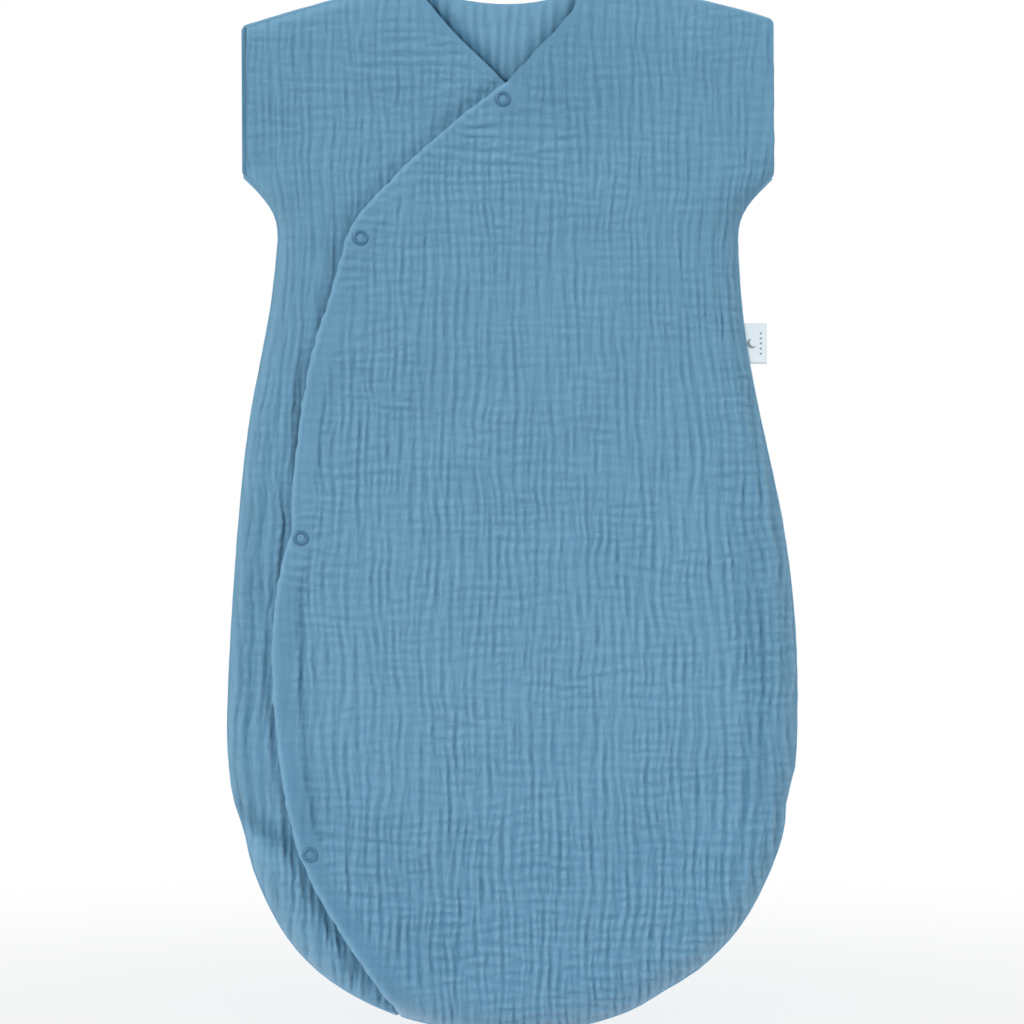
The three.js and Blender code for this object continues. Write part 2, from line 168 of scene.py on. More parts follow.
V_POINT = (-2.2, 630.5)
OPENING_END = (-73.5, 15)
wrap_edge = through([
    V_POINT, (-40.8, 601), (-99, 542.5), (-106.5, 529), (-113.9, 503), (-132.3, 440), (-143, 363),
    (-143.8, 332), (-148, 319), (-155, 281), (-155.5, 222), (-143.8, 140), (-130, 102), (-104, 58),
    OPENING_END,
], 6)
left_neckline = through([V_POINT, (9.9, 644), (28.4, 664), (38.6, 675), (44.5, 684), NECK_LEFT], 5)
right_neckline = through([NECK_RIGHT, (-53.4, 685), (-35.7, 664), (-18.8, 647.5), (-2.5, 631.4), (8, 621)], 5)
SNAPS = [(-4, 619.6), (-97.7, 527), (-137, 329.5), (-131, 121)]

JOINTS = {joint["name"]: joint for joint in frame["joints"]}


def fold_line(name):
    """A point (x, z) on one of the frame's hinges, and its direction."""
    joint = JOINTS[name]
    x, _, z = (c / MM for c in joint["pos_m"])
    along = np.array([joint["axis"][0], joint["axis"][2]])
    if along[1] < 0:
        along = -along
    return np.array([x, z]), along / np.linalg.norm(along)


# ---- Lattice: every sheet of cloth is cut from a regular grid ----


class Lattice:
    """A grid of x and z with its own spacing, for heights and distances."""

    def __init__(self, steps):
        self.steps = steps
        self.x0, self.z0 = GRID_START
        xs = self.x0 + steps[0] * np.arange(int(GRID_SIZE[0] / steps[0]) + 1)
        zs = self.z0 + steps[1] * np.arange(int(GRID_SIZE[1] / steps[1]) + 1)
        self.x, self.z = np.meshgrid(xs, zs, indexing="ij")

    def sample(self, values, x, z):
        return bilinear(values, (x - self.x0) / self.steps[0], (z - self.z0) / self.steps[1])

    def slopes(self, values):
        return np.gradient(values, *self.steps)


def bilinear(values, i, j):
    i = np.clip(i, 0, values.shape[0] - 1.001)
    j = np.clip(j, 0, values.shape[1] - 1.001)
    i0, j0 = i.astype(int), j.astype(int)
    u, v = i - i0, j - j0
    low = values[i0, j0] * (1 - u) + values[i0 + 1, j0] * u
    high = values[i0, j0 + 1] * (1 - u) + values[i0 + 1, j0 + 1] * u
    return low * (1 - v) + high * v


def line_distance(line, x, z):
    """Distance from the nearest point of a line of points."""
    best = np.full(x.shape, 1e9)
    for a, b in zip(line[:-1], line[1:]):
        d = b - a
        t = np.clip(((x - a[0]) * d[0] + (z - a[1]) * d[1]) / max(d @ d, 1e-12), 0, 1)
        best = np.minimum(best, (x - a[0] - t * d[0]) ** 2 + (z - a[1] - t * d[1]) ** 2)
    return np.sqrt(best)


def inside(polygon, x, z):
    odd = np.zeros(x.shape, bool)
    for a, b in zip(polygon, np.roll(polygon, -1, axis=0)):
        if a[1] != b[1]:
            crosses = (a[1] > z) != (b[1] > z)
            odd ^= crosses & (x < a[0] + (b[0] - a[0]) * (z - a[1]) / (b[1] - a[1]))
    return odd


def region(polygon, x, z):
    """Distance from a polygon's edge, positive inside."""
    polygon = np.array(polygon, float)
    distance = line_distance(np.vstack([polygon, polygon[:1]]), x, z)
    return np.where(inside(polygon, x, z), distance, -distance)


# ---- Random relief with a chosen wavelength and direction ----

CELL = 0.5  # mm between samples of the noise fields
NOISE_SHAPE = (896, 1536)
NOISE_START = (-224, -34)  # x and z of their first sample


def frequencies():
    """Waves per millimetre along x and z, as a pair of arrays that spread over the noise field."""
    return np.fft.fftfreq(NOISE_SHAPE[0], CELL)[:, None], np.fft.rfftfreq(NOISE_SHAPE[1], CELL)[None, :]


def filtered(field, band):
    return np.fft.irfft2(np.fft.rfft2(field) * band, NOISE_SHAPE)


@functools.lru_cache(maxsize=None)
def ridges(seed, wavelength, spread, length, turned=False):
    """Ridges of nearly even height along z (along x if turned) that split and end, as in crinkled gauze."""
    across, along = frequencies()
    if turned:
        across, along = along, across
    band = np.exp(-(((np.abs(across) - 1 / wavelength) * wavelength / spread) ** 2))
    band = band * np.exp(-((along * length) ** 2))
    field = filtered(np.random.default_rng(seed).standard_normal(NOISE_SHAPE), band)
    field = field / field.std()
    nearby = np.exp(-((across**2 + along**2) * (1.6 * wavelength) ** 2))
    return field / np.sqrt(0.2 + 0.8 * np.maximum(filtered(field**2, nearby), 0))


@functools.lru_cache(maxsize=None)
def clouds(seed, wavelength):
    """Smooth blotches of about a wavelength."""
    fx, fz = frequencies()
    band = np.exp(-((fx**2 + fz**2) * wavelength**2))
    field = filtered(np.random.default_rng(seed).standard_normal(NOISE_SHAPE), band)
    return field / field.std()


def at(field, x, z):
    """A noise field's value at points of the bag."""
    return bilinear(field, (x - NOISE_START[0]) / CELL, (z - NOISE_START[1]) / CELL)


def grain(x, z):
    """x measured along the weft, so that its level lines run with the outline near the sides."""
    table_z = np.linspace(200, 528, 30)
    left = np.interp(table_z, left_side[:, 1], left_side[:, 0])
    right = -np.interp(table_z, right_side[:, 1], right_side[:, 0])
    height = np.clip(z, 200, 528)
    half = np.where(x > 0, np.interp(height, table_z, left), np.interp(height, table_z, right))
    share = np.clip(np.abs(x) / half, 0, 1) ** 2
    above = smooth((z - 528) / 60)
    return x * (1 + 0.75 * share * (175 / half - 1) * (1 - 0.6 * above))


def crinkle(x, z, seed, upright, level):
    """Relief of the gauze, mostly between -1 and 1. upright and level weigh the two directions."""
    wander = 0.9 * at(clouds(seed + 7, 75), x, z) + 0.4 * at(clouds(seed + 8, 24), x, z)
    u = grain(x, z) + wander
    w = z + 0.6 * wander
    patches = smooth(0.5 + 0.35 * at(clouds(seed + 3, 30), x, z))
    fading = 0.85 + 0.22 * at(clouds(seed + 4, 9), x, z)
    narrow = at(ridges(seed, 5.0, 0.28, 60), u, z)
    wide = at(ridges(seed + 1, 7.6, 0.3, 70), u, z)
    fine = at(ridges(seed + 5, 3.1, 0.4, 12), u, z)
    v = (narrow * (0.55 + 0.4 * patches) + wide * (0.85 - 0.3 * patches) + 0.4 * fine) * fading * upright
    bars = at(ridges(seed + 2, 7.2, 0.4, 34, turned=True), x, w)
    thin_bars = at(ridges(seed + 6, 4.3, 0.45, 9, turned=True), x, w)
    h = (bars + 0.45 * thin_bars) * (0.4 + 0.6 * patches) * (1.7 - fading) * level
    v = v / (1 + 0.25 * np.abs(v))
    h = h / (1 + 0.25 * np.abs(h)) * (1.1 + 0.55 * np.clip(v, -1, 1))
    knots = np.minimum(v, 0) * np.minimum(h, 0)
    total = v - 0.08 * v**2 + h - 0.1 * h**2 - 0.22 * knots
    lower = smooth((560 - z) / 250) + 0.55 * smooth((270 - z) / 160)
    return total * (0.9 + 0.27 * lower) / 1.6


# ---- Fields of the bag on a lattice ----


def closed(*lines):
    return np.vstack([np.array(line, float).reshape(-1, 2) for line in lines])


back_outline = closed(left_side, left_shoulder, back_neck[1:-1], right_shoulder[::-1], right_side[::-1][:-1])
front_right_side = right_side.copy()
front_right_side[-1] = (-175.7, 568.5)
front_outline = closed(
    left_side, left_shoulder, [(0, 712)], right_shoulder[::-1][:-1], [(-175.9, 670.6)],
    front_right_side[::-1][:-1],
)
FAR_SIDE, FAR_TOP, FAR_FOOT = 420, 760, -60  # beyond the bag on every side
over_area = closed(wrap_edge[::-1], left_neckline[1:], [
    (NECK_LEFT[0], FAR_TOP), (FAR_SIDE, FAR_TOP), (FAR_SIDE, FAR_FOOT), (OPENING_END[0], FAR_FOOT),
])
under_area = closed(right_neckline, [
    (-70, 8), (-70, FAR_FOOT), (-FAR_SIDE, FAR_FOOT), (-FAR_SIDE, FAR_TOP), (NECK_RIGHT[0], FAR_TOP),
])


def fields(lattice):
    """Distances from the bag's lines. back, front, over and under are positive inside their outlines."""
    x, z = lattice.x, lattice.z
    f = types.SimpleNamespace(lattice=lattice, x=x, z=z)
    f.back = region(back_outline, x, z)
    f.front = region(front_outline, x, z) + 0.1 * at(clouds(91, 12), x, z)
    f.over = region(over_area, x, z) + 0.35 * at(clouds(90, 9), x, z)
    f.under = region(under_area, x, z)
    seams = [left_side, right_side, left_shoulder, right_shoulder]
    f.seam = np.minimum.reduce([line_distance(s, x, z) for s in seams])
    f.snaps = [np.hypot(x - sx, z - sz) for sx, sz in SNAPS]
    f.hem = np.minimum(np.abs(x - SLEEVE_END), np.abs(x + SLEEVE_END)) + 200 * (z < SLEEVE_FOOT)
    f.wrap = line_distance(wrap_edge, x, z)
    f.outside = np.where(f.over > 0, 0, f.wrap)
    f.neck = np.minimum(line_distance(left_neckline, x, z), line_distance(right_neckline, x, z))
    return f


def loft(x, z):
    """Height of the fronts over the seams, away from them."""
    top = smooth((z - 545) / 70)
    sleeve = smooth((np.abs(x) - 120) / 50) * smooth((z - 550) / 30)
    return (22.0 - 9.5 * top) * (1 - 0.55 * sleeve)


def front_level(f):
    """Middle of the cloth both fronts start from, as if one front went all the way across."""
    x, z, d = f.x, f.z, np.maximum(f.seam - 1.0, 0)
    rise = 0.84 * (1 - np.exp(-((d / 9.5) ** 1.15))) + 0.16 * smooth(d / 120)
    swell = 1.1 * at(clouds(11, 130), x, z) + 0.5 * at(clouds(12, 45), x, z)
    folds = at(ridges(13, 15, 0.35, 110), grain(x, z), z)
    beside = bell(d - 22, 26) * smooth((z - 120) / 200) * smooth((640 - z) / 90)
    away = smooth(d / 16)
    neck = -3.0 * bell(f.neck, 15) * smooth((z - 630) / 30)
    return SEAM_LEVEL + loft(x, z) * rise + away * (swell + neck + folds * (0.2 + 0.4 * beside))


def flat_at_snaps(f, level):
    """The stiff snaps hold the cloth flat under them."""
    for centre, distance in zip(SNAPS, f.snaps):
        here = f.lattice.sample(level, np.array([centre[0]]), np.array([centre[1]]))[0]
        level = level + (here - level) * smooth((11 - distance) / 5)
    return level


def hip_crease(x, z):
    """Distance above the short crease that runs in from the side at the hip."""
    return (z - 139 + 0.55 * (x + 165)) / 1.14 + 1.5 * np.sin(x / 9)


def under_level(f):
    """The right front sinks beside the wrap edge, most near the foot, and has one crease at the hip."""
    x, z = f.x, f.z
    away = smooth(f.seam / 9)
    low = smooth((150 - z) / 60)
    beside = bell(f.outside - 2.5, 4.5 + 7 * low) * (1.6 + 3.2 * low)
    crease = 4.6 * bell(hip_crease(x, z) + 4, 8) * bell(x + 158, 26)
    pocket = 3.0 * bell(np.hypot(x + 97, z - 40), 13)
    return flat_at_snaps(f, front_level(f) - away * (beside + crease + pocket))


def groove(f):
    """Up to 1 along the inner edge of the facing, where the cloth dips between the snaps."""
    z = f.z
    low = smooth((z - 122) / 25) * smooth((315 - z) / 40)
    high = smooth((z - 352) / 15) * smooth((450 - z) / 40)
    inward = 15.5 + 3.5 * smooth((z - 130) / 80) * smooth((300 - z) / 40)
    return bell(f.wrap - inward, 2.2) * (0.1 + 0.9 * low + 0.4 * high)


def over_level(f):
    """Middle of the left front's cloth, which lies on the right front and on the snaps."""
    x, z = f.x, f.z
    on_under = smooth((f.under + 26) / 34) * smooth(f.seam / 12)
    lift = CLOTH + 1.4
    studs = sum(1.7 * bell(s, 13) for s in f.snaps)
    band = 0.35 * smooth((19 - f.wrap) / 3) + 0.8 * bell(f.wrap - 1, 2.4)
    pocket = 2.4 * bell(np.hypot(x + 92, z - 42), 20)
    wave = 0.5 * at(clouds(17, 34), x, z) * smooth((60 - f.wrap) / 50)
    level = front_level(f) + 0.2 + on_under * (lift + studs + pocket) + band + wave - 1.7 * groove(f)
    return flat_at_snaps(f, level) + sum(0.4 * bell(s, 2.2) for s in f.snaps)


def back_level(f):
    """Middle of the back's cloth, which lies flat and curls forward to the seams."""
    curl = 1.5 * np.exp(-f.seam / 4)
    return 1.15 + curl + 0.15 * at(clouds(23, 40), f.x, f.z)


def calm(f, edges, narrow, wide):
    """1 in open cloth, falling to a little along finished edges, where a facing holds the cloth smooth."""
    nearest = np.minimum.reduce(edges)
    quiet = 0.16 + 0.84 * smooth((nearest - narrow) / (wide - narrow))
    for s in f.snaps:
        quiet = quiet * smooth((s - SNAP_CLEAR) / 6)
    return quiet


def held(f):
    """1 away from the sewn edges, falling towards them, where the seam holds the cloth."""
    return 0.3 + 0.7 * smooth((f.seam - 1.5) / 5)


def ends_calm(f):
    """Calm along the neckline and the sleeve ends."""
    return calm(f, [f.neck], 2, 7) * calm(f, [f.hem], 1, 4)


def over_relief(f):
    """Crinkle of the left front: strong on the belly, smooth on the facing, tucked beside two snaps."""
    x, z = f.x, f.z
    below_v = bell(np.hypot((x + 2) / 1.6, z - 596), 24)
    chest = 0.3 * bell(np.hypot((x + 20) / 1.5, z - 575), 45)
    belly = 0.22 * bell(np.hypot(x + 90, (z - 420) / 1.7), 45)
    relief = crinkle(x, z, 100, 1 - 0.5 * below_v, 0.55 + 0.9 * below_v) * (1 + chest + belly)
    band = calm(f, [f.wrap], 11, 16.5)
    above = smooth((z - 555) / 30)
    quiet = (band + (1 - band) * (0.12 + 0.7 * above)) * ends_calm(f)
    along_edge = at(ridges(120, 6.5, 0.35, 14, turned=True), x + 0.5 * z, z)
    near_snaps = bell(f.snaps[1], 45) + 0.8 * bell(f.snaps[2] - 16, 18)
    tucks = 0.45 * along_edge * bell(f.wrap - 9, 9) * (0.15 + near_snaps)
    for snap in (1, 2):
        tucks = tucks * smooth((f.snaps[snap] - SNAP_CLEAR) / 5)
    return RELIEF * held(f) * (relief * quiet + tucks)


def under_relief(f):
    """Crinkle of the right front: level beside the neck, gathered near the foot, weaker where covered."""
    x, z = f.x, f.z
    by_neck = bell(np.hypot((x + 45) / 1.3, z - 655), 32)
    side = smooth((600 - z) / 60)
    relief = crinkle(x, z, 200, 1.1 - 0.5 * by_neck, 0.6 - 0.3 * side + 0.8 * by_neck)
    covered = 1 - 0.4 * smooth((f.over - 4) / 8)
    gathered = 1 + 0.3 * bell(f.outside - 8, 12) * smooth((150 - z) / 60)
    return RELIEF * held(f) * relief * covered * gathered * ends_calm(f)


def foot_edge(f):
    """Up to 1 along the seam round the foot."""
    return bell(f.seam - 2, 9) * smooth((95 - f.z) / 60)


def over_painted_shading(f):
    """Painted highlight along the turned edge and the foot seam; painted shade in the groove and in a hollow
    above the foot, and darker over the facing, towards the foot, on the chest and at the left hip.
    """
    x, z = f.x, f.z
    facing = 0.5 * bell(f.wrap - 8.5, 5) * smooth((325 - z) / 40)
    belly = 0.45 * smooth((240 - z) / 150) + 0.4 * bell(np.hypot(x + 55, z - 62), 30)
    chest = 0.45 * bell(np.hypot(x - 32, z - 636), 42)
    hip = 0.8 * bell(f.seam - 27, 10) * bell(z - 245, 95) * smooth(x / 60)
    pale = 1.5 * bell(f.wrap - 1, 1.6) + foot_edge(f) * (0.3 + 0.8 * smooth(-x / 80))
    return pale - 1.5 * groove(f) - facing - belly - chest - hip


def under_painted_shading(f):
    """Painted highlight along the side seam and round the foot; painted shadow on the strip beside the wrap
    edge; painted shade above the hip crease with painted light below it; darker in a band inside the side
    seam.
    """
    low = smooth((150 - f.z) / 60)
    edge = (0.7 + 0.9 * low) * bell(f.outside, 3 + 5 * low) * (f.over < 2)
    above = hip_crease(f.x, f.z)
    crease = (1.6 * bell(above - 1, 8) - 0.7 * bell(above + 13, 8)) * bell(f.x + 155, 28)
    side = 0.9 * bell(f.seam - 14, 7) * bell(f.z - 250, 110)
    plain = smooth((f.z - 60) / 60) * (1 - 0.9 * bell(f.z - 158, 22))
    pale = 1.1 * bell(f.seam - 3, 5) * plain + 0.5 * foot_edge(f)
    return pale - edge - crease - side


def neck_gather(f):
    """1 on the back where it shows through the neck, 0 away from there."""
    return smooth((f.z - 596) / 30) * smooth((80 - np.abs(f.x + 6)) / 20)


def back_relief(f):
    """The back is crinkled like the fronts, and gathered into upright ridges by its neck facing."""
    relief = crinkle(f.x, f.z, 300, 1.15, 0.35)
    tucks = at(ridges(310, 7.2, 0.3, 60), f.x, f.z)
    near = neck_gather(f)
    relief = 0.75 * relief * (1 - 0.5 * near) + 0.7 * near * tucks / (1 + 0.2 * np.abs(tucks))
    return RELIEF * relief * (0.3 + 0.7 * smooth((f.back - 2) / 5))


def back_painted_shading(f):
    """Inside the neck the back has painted light in the middle and painted shadow along the two fronts."""
    right = line_distance(right_neckline, f.x, f.z)
    left = line_distance(left_neckline, f.x, f.z)
    above = smooth((f.z - 628) / 30)
    return neck_gather(f) * (0.9 - 3.2 * bell(right, 3.5 + 4 * above) - 1.6 * bell(left, 8) * above)


# ---- Meshes ----


def to_metres(x, z, forward):
    return np.column_stack([x * MM, (DEPTH / 2 - forward) * MM, z * MM])


def make_object(name, points, faces, painted_shading=None):
    mesh = bpy.data.meshes.new(name)
    mesh.from_pydata(points, [], faces)
    mesh.shade_smooth()
    # Painted shading, when given, is kept as a point attribute that the material reads.
    if painted_shading is not None:
        mesh.attributes.new("painted_shading", "FLOAT", "POINT").data.foreach_set("value", painted_shading.astype(np.float32))
    obj = bpy.data.objects.new(name, mesh)
    bpy.context.scene.collection.objects.link(obj)
    return obj


def sheet_cells(ok):
    """Faces of the grid cells with three or four usable corners, anticlockwise seen from the front."""
    index = np.arange(ok.size).reshape(ok.shape)
    corners = [index[:-1, :-1], index[1:, :-1], index[1:, 1:], index[:-1, 1:]]
    usable = [ok[:-1, :-1], ok[1:, :-1], ok[1:, 1:], ok[:-1, 1:]]
    count = sum(u.astype(int) for u in usable)
    quads = np.column_stack([c[count == 4] for c in corners])
    triangles = []
    for missing in range(4):
        keep = [k for k in range(4) if k != missing]
        here = (count == 3) & ~usable[missing]
        triangles.append(np.column_stack([corners[k][here] for k in keep]))
    return quads, np.vstack(triangles)


def border_edges(quads, triangles):
    """Directed edges that only one face uses."""
    pairs = [np.column_stack([quads[:, k], quads[:, (k + 1) % 4]]) for k in range(4)]
    pairs += [np.column_stack([triangles[:, k], triangles[:, (k + 1) % 3]]) for k in range(3)]
    pairs = np.vstack(pairs)
    size = pairs.max() + 1
    there = pairs[:, 0] * size + pairs[:, 1]
    back = pairs[:, 1] * size + pairs[:, 0]
    return pairs[~np.isin(there, back)]


def plain_area(cells, x, z):
    """Area of the cells of a sheet seen from the front, negative where one has turned over."""
    px, pz = x.ravel()[cells], z.ravel()[cells]
    nx, nz = np.roll(px, -1, axis=1), np.roll(pz, -1, axis=1)
    return (px * nz - nx * pz).sum(axis=1) / 2


def cut_out(lattice, area):
    """The lattice cells where area is positive, with the corners near the outline moved onto it.

    Gives the corners' x and z, the four-sided and three-sided cells, the border edges, all numbered
    anew, and the direction into the sheet on the lattice."""
    gx, gz = lattice.slopes(area)
    size = np.maximum(np.hypot(gx, gz), 1e-6)
    reach = 0.5 * np.hypot(gx * lattice.steps[0], gz * lattice.steps[1]) / size
    inward = (gx / size, gz / size)
    x, z = lattice.x.copy(), lattice.z.copy()
    quads, triangles = sheet_cells(area > -reach)
    edges = border_edges(quads, triangles)
    move = np.abs(area) <= reach
    for _ in range(2):
        move.ravel()[np.unique(edges)] = True
        for _ in range(3):
            here = lattice.sample(area, x, z)
            ux, uz = (lattice.sample(u, x, z) for u in inward)
            x = np.where(move, x - here * ux, x)
            z = np.where(move, z - here * uz, z)
        quads = quads[plain_area(quads, x, z) > 0.22 * lattice.steps[0] * lattice.steps[1]]
        triangles = triangles[plain_area(triangles, x, z) > 0.12 * lattice.steps[0] * lattice.steps[1]]
        edges = border_edges(quads, triangles)
    used = np.unique(np.concatenate([quads.ravel(), triangles.ravel()]))
    number = np.full(area.size, -1)
    number[used] = np.arange(used.size)
    return x.ravel()[used], z.ravel()[used], number[quads], number[triangles], number[edges], inward


def shell_faces(count, border, quads, triangles, edges, rim_steps):
    """Faces of a sheet's front and back, each of count points, and of the rim round them."""
    order = np.full(count, -1)
    order[border] = np.arange(border.size)
    a, b = edges.T
    rings = [(a, b)]
    for k in range(1, rim_steps):
        first = 2 * count + (k - 1) * border.size
        rings.append((first + order[a], first + order[b]))
    rings.append((a + count, b + count))
    rim = [np.column_stack([q[1], q[0], r[0], r[1]]) for q, r in zip(rings[:-1], rings[1:])]
    four = np.vstack([quads, quads[:, ::-1] + count] + rim)
    three = np.vstack([triangles, triangles[:, ::-1] + count])
    return four.tolist() + three.tolist()


def cloth(name, f, area, level, relief, thickness=CLOTH, rim_steps=3, shade=None):
    """A closed shell of cloth over the part of the lattice where area is positive, with rounded edges."""
    lattice = f.lattice
    x, z, quads, triangles, edges, inward = cut_out(lattice, area - thickness / 2)
    sx, sz = (lattice.sample(slope, x, z) for slope in lattice.slopes(level))
    length = np.sqrt(1 + sx**2 + sz**2)
    normal = np.column_stack([-sx / length, -sz / length, 1 / length])
    bump = lattice.sample(relief, x, z)
    middle = np.column_stack([x, z, lattice.sample(level, x, z)]) + normal * bump[:, None]
    border = np.unique(edges)
    ux, uz = (lattice.sample(u, x[border], z[border]) for u in inward)
    outward = -np.column_stack([ux, uz, np.zeros(border.size)])
    outward[:, 2] = outward[:, 0] * sx[border] + outward[:, 1] * sz[border]
    outward /= np.linalg.norm(outward, axis=1)[:, None]
    half = thickness / 2
    layers = [middle + normal * half, middle - normal * half]
    for k in range(1, rim_steps):
        angle = math.pi / 2 - math.pi * k / rim_steps
        layers.append(middle[border] + half * (normal[border] * math.sin(angle) + outward * math.cos(angle)))
    faces = shell_faces(x.size, border, quads, triangles, edges, rim_steps)
    # Painted shading: the front face is darker in the relief's hollows and lighter on its ridges, plus the
    # painted light and shade passed as shade. The back face gets the relief's reverse, and the rim gets the
    # front's.
    front = bump / RELIEF
    if shade is not None:
        front = front + lattice.sample(shade, x, z)
    painted_shading = np.concatenate([front, -bump / RELIEF] + [front[border]] * (rim_steps - 1))
    return make_object(name, to_metres(*np.vstack(layers).T), faces, painted_shading)


def tube_faces(rings, sides):
    """Faces of a closed tube whose points are numbered ring by ring."""
    faces = [tuple(range(sides))[::-1], tuple(range((rings - 1) * sides, rings * sides))]
    for i in range(rings - 1):
        for k in range(sides):
            n = (k + 1) % sides
            faces.append((i * sides + k, i * sides + n, (i + 1) * sides + n, (i + 1) * sides + k))
    return faces


def swept(name, line, centre_forward, half_width, half_depth, seed, sides=12, inset=0.0, short=(0, 0)):
    """A closed cord along a line, with an oval section that swells and pinches a little.

    short is how far it stops before the line's two ends."""
    line = np.array(line, float)
    gaps = np.linalg.norm(np.diff(line, axis=0), axis=1)
    walk = np.concatenate([[0], np.cumsum(gaps)])
    count = int(walk[-1] / 1.3)
    s = np.linspace(short[0], walk[-1] - short[1], count)
    x, z = np.interp(s, walk, line[:, 0]), np.interp(s, walk, line[:, 1])
    tangent = np.column_stack([np.gradient(x), np.gradient(z)])
    tangent /= np.linalg.norm(tangent, axis=1)[:, None]
    side = np.column_stack([-tangent[:, 1], tangent[:, 0]])
    x, z = x + inset * side[:, 0], z + inset * side[:, 1]
    rng = np.random.default_rng(seed)
    rough = np.convolve(rng.standard_normal(count + 16), np.hanning(13), "same")[8:-8]
    rough = rough / rough.std()
    swell = 1 + 0.05 * rough
    ends = np.sqrt(np.clip(np.minimum(s - s[0], s[-1] - s) / half_width, 0.05, 1))
    angle = np.linspace(0, 2 * math.pi, sides, endpoint=False)
    rings = []
    for a in angle:
        wide = half_width * math.cos(a) * swell * ends
        deep = half_depth * math.sin(a) * swell * ends
        rings.append(np.column_stack([x + side[:, 0] * wide, z + side[:, 1] * wide, centre_forward + deep]))
    points = np.stack(rings, 1).reshape(-1, 3)
    # Painted highlight: the cords are paler than the cloth, a little more where they swell.
    painted_shading = np.repeat(1.2 + rough * 0.4, sides)
    return make_object(name, to_metres(*points.T), tube_faces(count, sides), painted_shading)


def lathe(name, profile, centre, forward, backwards=False, segments=48, prongs=None):
    """A round part from a closed profile of (radius, height), which points forward unless backwards.

    prongs are the places, across the part, of pointed six-sided pins behind it."""
    sign = -1 if backwards else 1
    points, faces = [], []
    count = len(profile)
    for k in range(segments):
        a = 2 * math.pi * k / segments
        points += [(r * math.cos(a), r * math.sin(a), h) for r, h in profile]
        n = (k + 1) % segments
        for i in range(count):
            j = (i + 1) % count
            faces.append((k * count + i, n * count + i, n * count + j, k * count + j))
    for spot in prongs or []:
        base = len(points)
        for radius, height in ((0.16, -2.6), (0.4, -1.6), (0.42, 0.1)):
            for side in range(6):
                a = math.pi * side / 3
                points.append((spot[0] + radius * math.cos(a), spot[1] + radius * math.sin(a), height))
        faces += [tuple(base + i for i in face) for face in tube_faces(3, 6)]
    p = np.array(points)
    world = to_metres(centre[0] + p[:, 0], centre[1] + sign * p[:, 1], forward + sign * p[:, 2])
    obj = make_object(name, world, faces)
    obj.data.validate()
    weld = obj.modifiers.new("weld", "WELD")
    weld.merge_threshold = 1e-6
    return obj


def ring_profile():
    """Rounded bead with a slightly flatter top, and a flat underside on the cloth."""
    middle, half, height = 4.0, 1.0, 0.95
    angle = np.linspace(0, math.pi, 13)
    bead = [(middle + half * math.cos(a), 0.25 + (height - 0.25) * math.sin(a) ** 0.85) for a in angle]
    return [(middle - half + 0.1, 0.0), (middle + half - 0.1, 0.0)] + bead


SOCKET_HEIGHT = 1.4
SOCKET_PROFILE = [
    (2.3, 0.15), (2.45, 0.0), (3.4, 0.0), (3.5, 0.18), (4.3, 0.18), (4.6, 0.3), (4.8, 0.6), (4.8, 1.25),
    (4.65, SOCKET_HEIGHT), (4.4, SOCKET_HEIGHT), (4.3, 0.9), (3.3, 0.9), (3.2, SOCKET_HEIGHT),
    (2.45, SOCKET_HEIGHT), (2.3, 1.25),
]
STUD_PROFILE = [
    (0.0, 0.0), (3.2, 0.0), (3.3, 0.4), (4.3, 0.4), (4.4, 0.0), (4.65, 0.0), (4.8, 0.15), (4.8, 0.5),
    (4.5, 0.75), (3.0, 0.85), (1.9, 0.8), (1.6, 0.95), (1.65, 1.2), (1.88, 1.5), (1.86, 1.7), (1.6, 1.9),
    (1.0, 2.0), (0.0, 2.02),
]


def ribbon_loop(name, root, lean, outward, length, width, leaf, gap, curl, forward, skew=0.0):
    """A ribbon folded in two: two leaves that meet in a round fold, as one closed shell.

    outward is 1 for a ribbon that runs along +x and -1 for the other way. It leans by an angle, or its
    root follows an edge that moves by skew for each millimetre across."""
    bend = (gap + leaf) / 2
    run = np.linspace(0, length - bend, 14)
    upper = np.column_stack([run, bend + 0.25 * np.sin(run / length * 3.0)])
    turn = np.linspace(math.pi / 2, -math.pi / 2, 9)[1:-1]
    tip = upper[-1, 1] - bend
    fold = np.column_stack([length - bend + bend * np.cos(turn), tip + bend * np.sin(turn)])
    lower = np.column_stack([run[::-1], -bend + 0.25 * np.sin(run[::-1] / length * 3.0) - 0.15])
    path = np.vstack([upper, fold, lower])
    path[:, 1] += curl * (path[:, 0] / length) ** 2
    tangent = np.gradient(path, axis=0)
    tangent /= np.linalg.norm(tangent, axis=1)[:, None]
    normal = np.column_stack([-tangent[:, 1], tangent[:, 0]])
    across = np.linspace(-width / 2, width / 2, 15)
    sin, cos = math.sin(lean), math.cos(lean)
    points = []
    for offset in (-outward * leaf / 2, outward * leaf / 2):
        edge = path + normal * offset
        for w in across:
            wave = 0.18 * math.sin(w * 0.35 + 0.6) * (edge[:, 0] / length)
            u = outward * edge[:, 0]
            x = root[0] + u * cos * (1 - skew * w / length) + w * (skew - sin)
            points.append(np.column_stack([x, root[1] + u * sin + w * cos, forward + edge[:, 1] + wave]))
    quads, triangles = sheet_cells(np.ones((len(across), len(path)), bool))
    edges = border_edges(quads, triangles)
    faces = shell_faces(across.size * len(path), np.unique(edges), quads, triangles, edges, 1)
    return make_object(name, to_metres(*np.vstack(points).T), faces)


# ---- Materials ----


def new_material(name):
    material = bpy.data.materials.new(name)
    material.use_nodes = True
    return material, material.node_tree, material.node_tree.nodes["Principled BSDF"]


